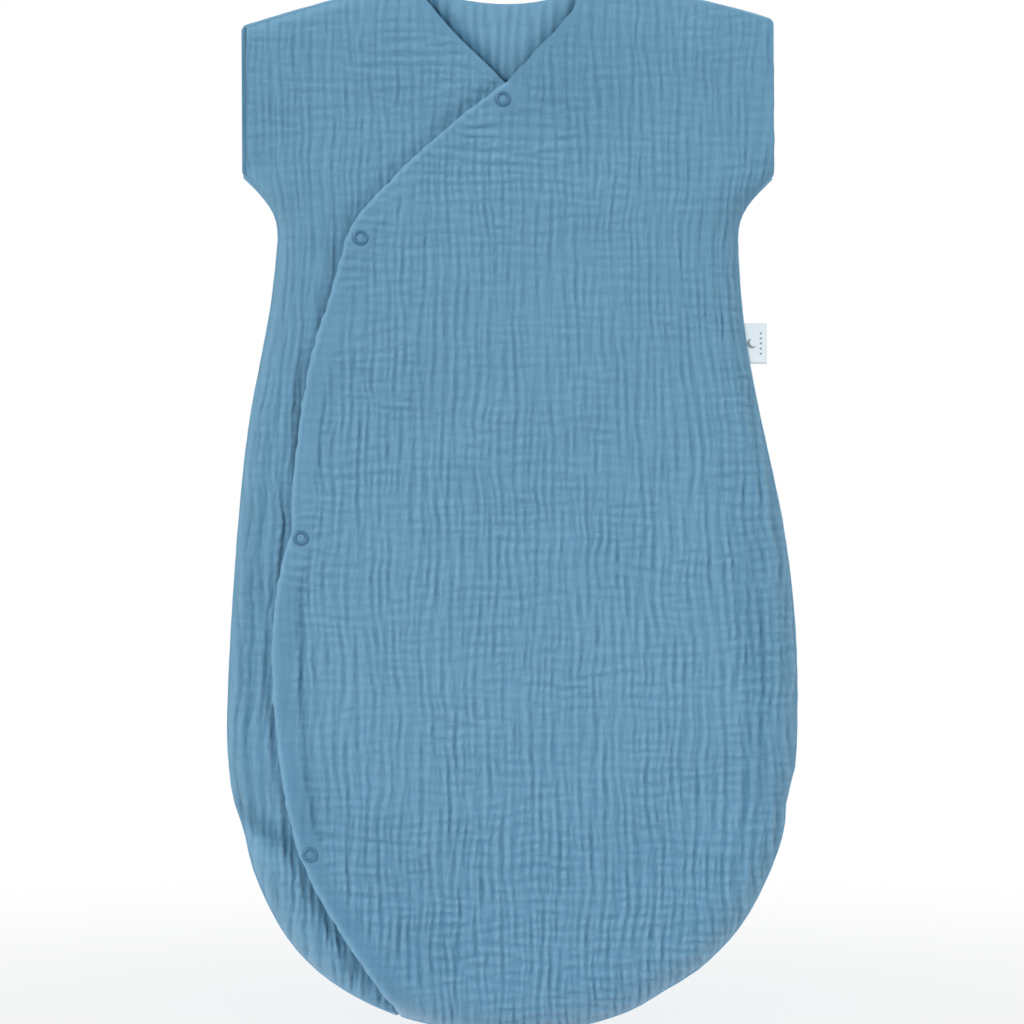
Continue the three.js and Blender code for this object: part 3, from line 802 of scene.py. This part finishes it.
def feed(tree, node, values):
    """Gives a node's inputs their values: numbers and colours are set, other nodes' outputs linked."""
    for key, value in values.items():
        if isinstance(value, bpy.types.NodeSocket):
            tree.links.new(value, node.inputs[key])
        else:
            node.inputs[key].default_value = value
    return node


def add_node(tree, kind, values=None, **settings):
    node = tree.nodes.new("ShaderNode" + kind)
    for setting, value in settings.items():
        setattr(node, setting, value)
    return feed(tree, node, values or {})


def weave_height(tree, place, period):
    """Threads over and under, as a height from object coordinates."""
    scale = 0.314 / (period * MM)
    values = {"Scale": scale, "Distortion": 2.2, "Detail": 1, "Detail Scale": 2, "Vector": place}
    upright = add_node(tree, "TexWave", values, bands_direction="X")
    level = add_node(tree, "TexWave", values, bands_direction="Z")
    both = {0: upright.outputs["Fac"], 1: level.outputs["Fac"]}
    return add_node(tree, "Math", both, operation="MULTIPLY").outputs[0]


def stretched_noise(tree, place, across, along):
    """Noise with features of these sizes in millimetres across and along the ridges."""
    scale = (1 / (across * MM), 60, 1 / (along * MM))
    mapping = add_node(tree, "Mapping", {"Scale": scale, "Vector": place})
    values = {"Scale": 1, "Detail": 1, "Vector": mapping.outputs["Vector"]}
    return add_node(tree, "TexNoise", values).outputs["Fac"]


def painted_shading_level(tree, place):
    """The cloth's painted shading, brought between 0 and 1 and mottled a little."""
    painted_shading = add_node(tree, "Attribute", attribute_name="painted_shading")
    values = {"From Min": -3.9, "From Max": 1.3, "Value": painted_shading.outputs["Fac"]}
    height = add_node(tree, "MapRange", values)
    mottle = add_node(tree, "TexNoise", {"Scale": 38, "Detail": 5, "Vector": place})
    values = {0: height.outputs["Result"], 1: 0.75, 2: 0.11}
    scaled = add_node(tree, "Math", values, operation="MULTIPLY_ADD")
    values = {0: mottle.outputs["Fac"], 1: 0.15, 2: scaled.outputs[0]}
    return add_node(tree, "Math", values, operation="MULTIPLY_ADD").outputs[0]


def colour_with_painted_shading(tree, deep, light, level, threads):
    """The colour of the cloth with painted shading: a painted shadow colour, then dark hollows, then light
    ridges, with lighter threads.
    """
    ramp = add_node(tree, "ValToRGB", {"Fac": level})
    # The darkest colour is a painted shadow, for the deep shade inside the neck.
    ramp.color_ramp.elements[0].color = tuple(c * s for c, s in zip(deep, (0.35, 0.5, 0.53))) + (1,)
    ramp.color_ramp.elements[1].color = (*light, 1)
    ramp.color_ramp.elements.new(0.5).color = (*deep, 1)
    tint = add_node(tree, "MapRange", {"To Min": 0.9, "To Max": 1.06, "Value": threads})
    values = {0: ramp.outputs["Color"], "Scale": tint.outputs["Result"]}
    return add_node(tree, "VectorMath", values, operation="SCALE").outputs["Vector"]


def fabric(name, deep, light, weave, weave_bump, pucker_bump, sheen):
    """Woven cloth. deep is its colour in painted shade and light its colour in painted light, weave is the
    spacing of its threads.
    """
    material, tree, surface = new_material(name)
    place = add_node(tree, "TexCoord").outputs["Object"]
    threads = weave_height(tree, place, weave)
    colour = colour_with_painted_shading(tree, deep, light, painted_shading_level(tree, place), threads)
    puckers = {0: stretched_noise(tree, place, 2.2, 8), 1: stretched_noise(tree, place, 7, 2.4)}
    small = add_node(tree, "Math", puckers)
    values = {"Strength": pucker_bump, "Distance": 0.5 * MM, "Height": small.outputs[0]}
    soft = add_node(tree, "Bump", values)
    values = {"Strength": weave_bump, "Distance": 0.12 * MM, "Height": threads, "Normal": soft.outputs[0]}
    bump = add_node(tree, "Bump", values)
    feed(tree, surface, {
        "Base Color": colour, "Normal": bump.outputs[0], "Roughness": 0.92, "Specular IOR Level": 0.25,
        "Sheen Weight": sheen, "Sheen Tint": (0.78, 0.92, 1, 1), "Sheen Roughness": 0.45,
    })
    return material


def disc(tree, place, x, z, radius):
    """1 inside a circle of the object's x and z, 0 outside."""
    flat = add_node(tree, "VectorMath", {0: place, 1: (1, 0, 1)}, operation="MULTIPLY")
    values = {0: flat.outputs["Vector"], 1: (x * MM, 0, z * MM)}
    distance = add_node(tree, "VectorMath", values, operation="DISTANCE").outputs["Value"]
    soft = 0.12  # half the width of the disc's blurred edge
    values = {"From Min": (radius + soft) * MM, "From Max": (radius - soft) * MM, "Value": distance}
    return add_node(tree, "MapRange", values).outputs["Result"]


def printed_ribbon(x, z):
    """The ribbon with a plain grey crescent and a row of five round dots beside it."""
    material = fabric("printed_ribbon", (0.6, 0.62, 0.65), (0.84, 0.85, 0.88), 0.5, 0.3, 0.05, 0.2)
    tree = material.node_tree
    colour = tree.nodes["Principled BSDF"].inputs["Base Color"]
    place = tree.nodes["Texture Coordinate"].outputs["Object"]
    values = {0: disc(tree, place, x, z, 3.3), 1: disc(tree, place, x + 1.5, z + 0.9, 2.8)}
    ink = add_node(tree, "Math", values, operation="SUBTRACT", use_clamp=True).outputs[0]
    for k in range(-2, 3):
        values = {0: ink, 1: disc(tree, place, x + 6, z + 3.4 * k, 0.75)}
        ink = add_node(tree, "Math", values, operation="MAXIMUM").outputs[0]
    plain = colour.links[0].from_socket
    values = {0: ink, 6: plain, 7: (0.23, 0.26, 0.29, 1)}
    mix = add_node(tree, "Mix", values, data_type="RGBA")
    tree.links.new(mix.outputs[2], colour)
    return material


def metal(name, colour, roughness, metallic, coat):
    """Metal or lacquer with a fine uneven grain."""
    material, tree, surface = new_material(name)
    place = add_node(tree, "TexCoord").outputs["Object"]
    noise = add_node(tree, "TexNoise", {"Scale": 900, "Detail": 3, "Vector": place}).outputs["Fac"]
    values = {"To Min": roughness - 0.06, "To Max": roughness + 0.08, "Value": noise}
    spread = add_node(tree, "MapRange", values)
    shade = add_node(tree, "MapRange", {"To Min": 0.88, "To Max": 1.1, "Value": noise})
    values = {0: colour, "Scale": shade.outputs["Result"]}
    tinted = add_node(tree, "VectorMath", values, operation="SCALE")
    bump = add_node(tree, "Bump", {"Strength": 0.08, "Distance": 0.02 * MM, "Height": noise})
    feed(tree, surface, {
        "Base Color": tinted.outputs["Vector"], "Normal": bump.outputs[0], "Metallic": metallic,
        "Roughness": spread.outputs["Result"], "Coat Weight": coat, "Coat Roughness": 0.15,
    })
    return material


# The first colour of each cloth is its painted shade in hollows, the second its painted light on ridges.
GAUZE = fabric("gauze", (0.068, 0.178, 0.284), (0.187, 0.36, 0.512), 0.85, 0.5, 0.45, 0.6)
STRIP_CLOTH = fabric("facing_cloth", (0.072, 0.178, 0.283), (0.18, 0.34, 0.485), 0.7, 0.4, 0.25, 0.1)
RIBBON = fabric("ribbon", (0.62, 0.64, 0.67), (0.86, 0.87, 0.9), 0.5, 0.3, 0.05, 0.2)
PRINTED = printed_ribbon(161.5, LABEL_HEIGHT)
LACQUER = metal("lacquer", (0.05, 0.145, 0.25), 0.42, 0.1, 0.12)
NICKEL = metal("nickel", (0.5, 0.5, 0.49), 0.28, 1.0, 0.0)


def finish_piece(piece, material, body, nodes, bend=None):
    piece.data.materials.append(material)
    if bend is None:
        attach(piece, body)
    else:
        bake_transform(piece)
    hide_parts(*nodes)


def bend_span(joint, toward, reach):
    """Where the cloth starts and stops turning: on the hinge's line, and reach millimetres to one side."""
    point, along = fold_line(joint)
    side = np.array([along[1], -along[0]]) * toward
    end = point + side * reach
    return (point[0] * MM, 0, point[1] * MM), (end[0] * MM, 0, end[1] * MM)


OVER_BEND = bend_span("overlap_fold", -1, 34)
UNDER_BEND = bend_span("underlap_fold", 1, 24)


def side_of_fold(f, joint):
    """Distance from a fold line, positive towards the wearer's left."""
    point, along = fold_line(joint)
    return (f.x - point[0]) * along[1] - (f.z - point[1]) * along[0]


def joined(name, parts):
    bpy.ops.object.select_all(action="DESELECT")
    for part in parts:
        part.select_set(True)
    bpy.context.view_layer.objects.active = parts[0]
    bpy.ops.object.join()
    parts[0].name = name
    return parts[0]


# ---- The bag ----

fine, medium, coarse = fields(Lattice(FINE)), fields(Lattice(MEDIUM)), fields(Lattice(COARSE))
BEHIND = CLOTH / 2 + STRIP_GAP + STRIP / 2  # from the middle of a cloth to the middle of the strip on it


def build_panels():
    f = medium
    back = cloth("back_cloth", f, f.back - HEM_IN, back_level(f), back_relief(f), shade=back_painted_shading(f))
    finish_piece(back, GAUZE, "shell", ["back_panel"])
    f = fine
    shape = np.minimum(f.front - HEM_IN, f.under)
    under = cloth("right_front_cloth", f, shape, under_level(f), under_relief(f), shade=under_painted_shading(f))
    finish_piece(under, GAUZE, "underlap", ["right_front_panel", "underlap_flap"], UNDER_BEND)
    shape = np.minimum(f.front - HEM_IN, f.over)
    over = cloth("left_front_cloth", f, shape, over_level(f), over_relief(f), shade=over_painted_shading(f))
    finish_piece(over, GAUZE, "overlap", ["left_front_panel", "overlap_flap"], OVER_BEND)


def front_strip(name, parts, level, relief, body, bend=None):
    """A strip of facing on a front, where all the parts are positive."""
    strip = cloth(name + "_strip", coarse, np.minimum.reduce(parts), level, relief, STRIP, 2)
    finish_piece(strip, STRIP_CLOTH, body, [name], bend)


def build_facings():
    f = coarse
    level, relief = over_level(f) - BEHIND, over_relief(f)
    edge = np.minimum(f.wrap, line_distance(left_neckline, f.x, f.z))
    parts = [f.over - TURNED_IN, FACING_WIDTH - edge, f.front - 9]
    front_strip("overlap_facing", parts, level, relief, "overlap", OVER_BEND)
    level, relief = under_level(f) - BEHIND, under_relief(f)
    right_neck = line_distance(right_neckline, f.x, f.z)
    beside_neck = np.minimum(f.under - TURNED_IN, FACING_WIDTH - right_neck)
    fold = side_of_fold(f, "underlap_fold")
    parts = [beside_neck, fold - FOLD_GAP]
    front_strip("underlap_facing", parts, level, relief, "underlap", UNDER_BEND)
    parts = [beside_neck, -fold - FOLD_GAP, f.front - 4]
    front_strip("right_neck_facing", parts, level, relief, "shell")
    parts = [f.over - TURNED_IN, FACING_WIDTH - f.wrap, 538 - f.z, f.z - 96]
    front_strip("stud_tape", parts, level, relief, "shell")


def build_neck_facing():
    """The back neck's facing shows in the neck, so it is as fine as the back and of the same cloth."""
    f = medium
    lower = FACING_WIDTH - line_distance(back_neck, f.x, f.z)
    level = back_level(f) + BEHIND - 0.2 - 0.62 * (1 - smooth(lower / 9))
    shape = np.minimum(f.back - TURNED_IN, lower)
    facing = cloth("back_neck_facing_strip", f, shape, level, back_relief(f), STRIP, 2, back_painted_shading(f))
    finish_piece(facing, GAUZE, "shell", ["back_neck_facing"])


def build_sleeve_facings():
    f = coarse
    for name, sign, front in (("left", 1, over_level(f)), ("right", -1, under_level(f))):
        relief = over_relief(f) if sign > 0 else under_relief(f)
        within = np.minimum.reduce([f.front - 4, sign * f.x - 155, f.z - 574, 662 - f.z])
        end = np.minimum(within, SLEEVE_END - 3 - sign * f.x)
        near = cloth("sleeve_front", f, end, front - BEHIND, relief, STRIP, 2)
        far = cloth("sleeve_back", f, end, back_level(f) + BEHIND, back_relief(f), STRIP, 2)
        lining = joined(f"sleeve_facing_{name}_strip", [near, far])
        finish_piece(lining, STRIP_CLOTH, "shell", [f"sleeve_facing_{name}"])


def build_seams():
    """Cords in the side and shoulder seams. The side seams meet where the opening ends at the foot."""
    end = np.array([OPENING_END[0], np.interp(-OPENING_END[0], -right_side[:, 0], right_side[:, 1])])
    foot_left = np.vstack([end + (0.4, 0), right_side[right_side[:, 0] > end[0] + 1][1:][::-1]])
    foot_right = np.vstack([end - (0.4, 0), right_side[right_side[:, 0] < end[0] - 1]])[::-1]
    lines = {
        "side_seam_left": np.vstack([foot_left, left_side]),
        "side_seam_right": foot_right,
        "shoulder_seam_left": left_shoulder,
        "shoulder_seam_right": right_shoulder[::-1],
    }
    for seed, (name, line) in enumerate(lines.items()):
        short = (0, 2) if name in ("side_seam_left", "shoulder_seam_right") else (2, 0)
        seam = swept(name + "_edge", line, SEAM_LEVEL - 0.1, 1.35, 1.8, 400 + seed, inset=1.35, short=short)
        finish_piece(seam, GAUZE, "shell", [name])


def build_snaps():
    f = fine
    over, under = over_level(f), under_level(f)
    angles = [2 * math.pi * (k + 0.25) / 5 for k in range(5)]
    prongs = [(3.8 * math.cos(a), 3.8 * math.sin(a)) for a in angles]
    behind = CLOTH + STRIP_GAP + STRIP + 0.05  # from a cloth's face to the metal on its far side
    for i, centre in enumerate(SNAPS):
        spot = [np.array([c]) for c in centre]
        top, low = (f.lattice.sample(level, *spot)[0] + CLOTH / 2 for level in (over, under))
        name = f"snap_{i + 1}"
        stud_body = "underlap" if i == 0 else "shell"
        ring = lathe(name + "_cap", ring_profile(), centre, top - 0.12, prongs=prongs)
        finish_piece(ring, LACQUER, "overlap", [name + "_cap_ring"])
        socket = lathe(name + "_socket_disc", SOCKET_PROFILE, centre, top - behind - SOCKET_HEIGHT)
        finish_piece(socket, NICKEL, "overlap", [name + "_socket"])
        stud = lathe(name + "_stud_disc", STUD_PROFILE, centre, low + 0.05)
        finish_piece(stud, NICKEL, stud_body, [name + "_stud"])
        ring = lathe(name + "_stud_prongs", ring_profile(), centre, low - behind, True, prongs=prongs)
        finish_piece(ring, LACQUER, stud_body, [name + "_stud_ring"])


def side_at(height):
    """x of the left side at a height."""
    return np.interp(height, left_side[:, 1], left_side[:, 0])


def build_labels():
    x = side_at(LABEL_HEIGHT) - 1.1
    root, length = (x, LABEL_HEIGHT), LABEL_TIP - x
    label = ribbon_loop(
        "side_label_ribbon", root, 0.0, 1, length, 27, 0.35, 0.5, 0.4, SEAM_LEVEL, skew=-0.15,
    )
    finish_piece(label, PRINTED, "side_label", ["side_label"])
    root = (side_at(CARE_LABEL_HEIGHT) - 6, CARE_LABEL_HEIGHT)
    label = ribbon_loop("care_label_ribbon", root, 0.09, -1, 40, 30, 0.3, 0.4, 0.5, 5.3)
    finish_piece(label, RIBBON, "care_label", ["care_label"])


build_panels()
build_facings()
build_neck_facing()
build_sleeve_facings()
build_seams()
build_snaps()
build_labels()

# ---- Floor, light and camera ----


def floor_material():
    """Pale and matt round the bag, fading to nothing further out, so that no horizon shows."""
    material, tree, surface = new_material("floor")
    feed(tree, surface, {
        "Base Color": (0.84, 0.64, 0.61, 1), "Roughness": 0.9,
        "Emission Color": (1, 1, 1, 1), "Emission Strength": 0.6,
    })
    place = add_node(tree, "TexCoord").outputs["Object"]
    distance = add_node(tree, "VectorMath", {0: place}, operation="LENGTH").outputs["Value"]
    values = {"From Min": 0.25, "From Max": 1.1, "Value": distance}
    fade = add_node(tree, "MapRange", values, interpolation_type="SMOOTHSTEP")
    clear = add_node(tree, "BsdfTransparent")
    values = {"Fac": fade.outputs["Result"], 1: surface.outputs[0], 2: clear.outputs[0]}
    mix = add_node(tree, "MixShader", values)
    feed(tree, tree.nodes["Material Output"], {"Surface": mix.outputs[0]})
    return material


def add_sun(name, energy, angle, tilt, turn, unlit):
    """A sun that doesn't light the collection unlit. Its angles are in degrees."""
    light = bpy.data.lights.new(name, "SUN")
    light.energy = energy
    light.angle = math.radians(angle)
    lamp = bpy.data.objects.new(name, light)
    lamp.rotation_euler = (math.radians(tilt), 0, math.radians(turn))
    bpy.context.scene.collection.objects.link(lamp)
    lamp.light_linking.receiver_collection = unlit


def build_floor():
    bpy.ops.mesh.primitive_plane_add(size=3, location=(0, 0, -0.0015))
    floor = bpy.context.object
    floor.name = "floor"
    floor.data.materials.append(floor_material())
    return floor


def build_world():
    """White to the camera, and soft pale blue light on the bag."""
    world = bpy.data.worlds.new("studio")
    bpy.context.scene.world = world
    world.use_nodes = True
    tree = world.node_tree
    soft = feed(tree, tree.nodes["Background"], {"Color": (0.72, 0.95, 1, 1), "Strength": 0.5})
    white = add_node(tree, "Background", {"Color": (1, 1, 1, 1)})
    path = add_node(tree, "LightPath")
    values = {"Fac": path.outputs["Is Camera Ray"], 1: soft.outputs[0], 2: white.outputs[0]}
    mix = add_node(tree, "MixShader", values)
    feed(tree, tree.nodes["World Output"], {"Surface": mix.outputs[0]})


def build_lamps(floor):
    """Four suns that light the bag and not the floor."""
    unlit = bpy.data.collections.new("beyond the lamps")
    unlit.objects.link(floor)
    unlit.collection_objects[0].light_linking.link_state = "EXCLUDE"
    add_sun("key", 1.92, 10, 70, -40, unlit)
    add_sun("fill", 0.85, 16, 70, 38, unlit)
    add_sun("side", 0.6, 20, 84, 80, unlit)
    add_sun("back", 2.1, 30, 66, 150, unlit)
    bpy.context.scene.view_settings.view_transform = "Standard"


def build_camera():
    camera = bpy.data.cameras.new("camera")
    camera.lens = 120
    camera.sensor_width = 36
    width = 677.5 * MM  # of the view at the bag
    obj = bpy.data.objects.new("camera", camera)
    obj.location = (2 * MM, -width * camera.lens / camera.sensor_width, 346.7 * MM)
    obj.rotation_euler = (math.pi / 2, 0, 0)
    bpy.context.scene.collection.objects.link(obj)
    bpy.context.scene.camera = obj


build_world()
build_lamps(build_floor())
build_camera()
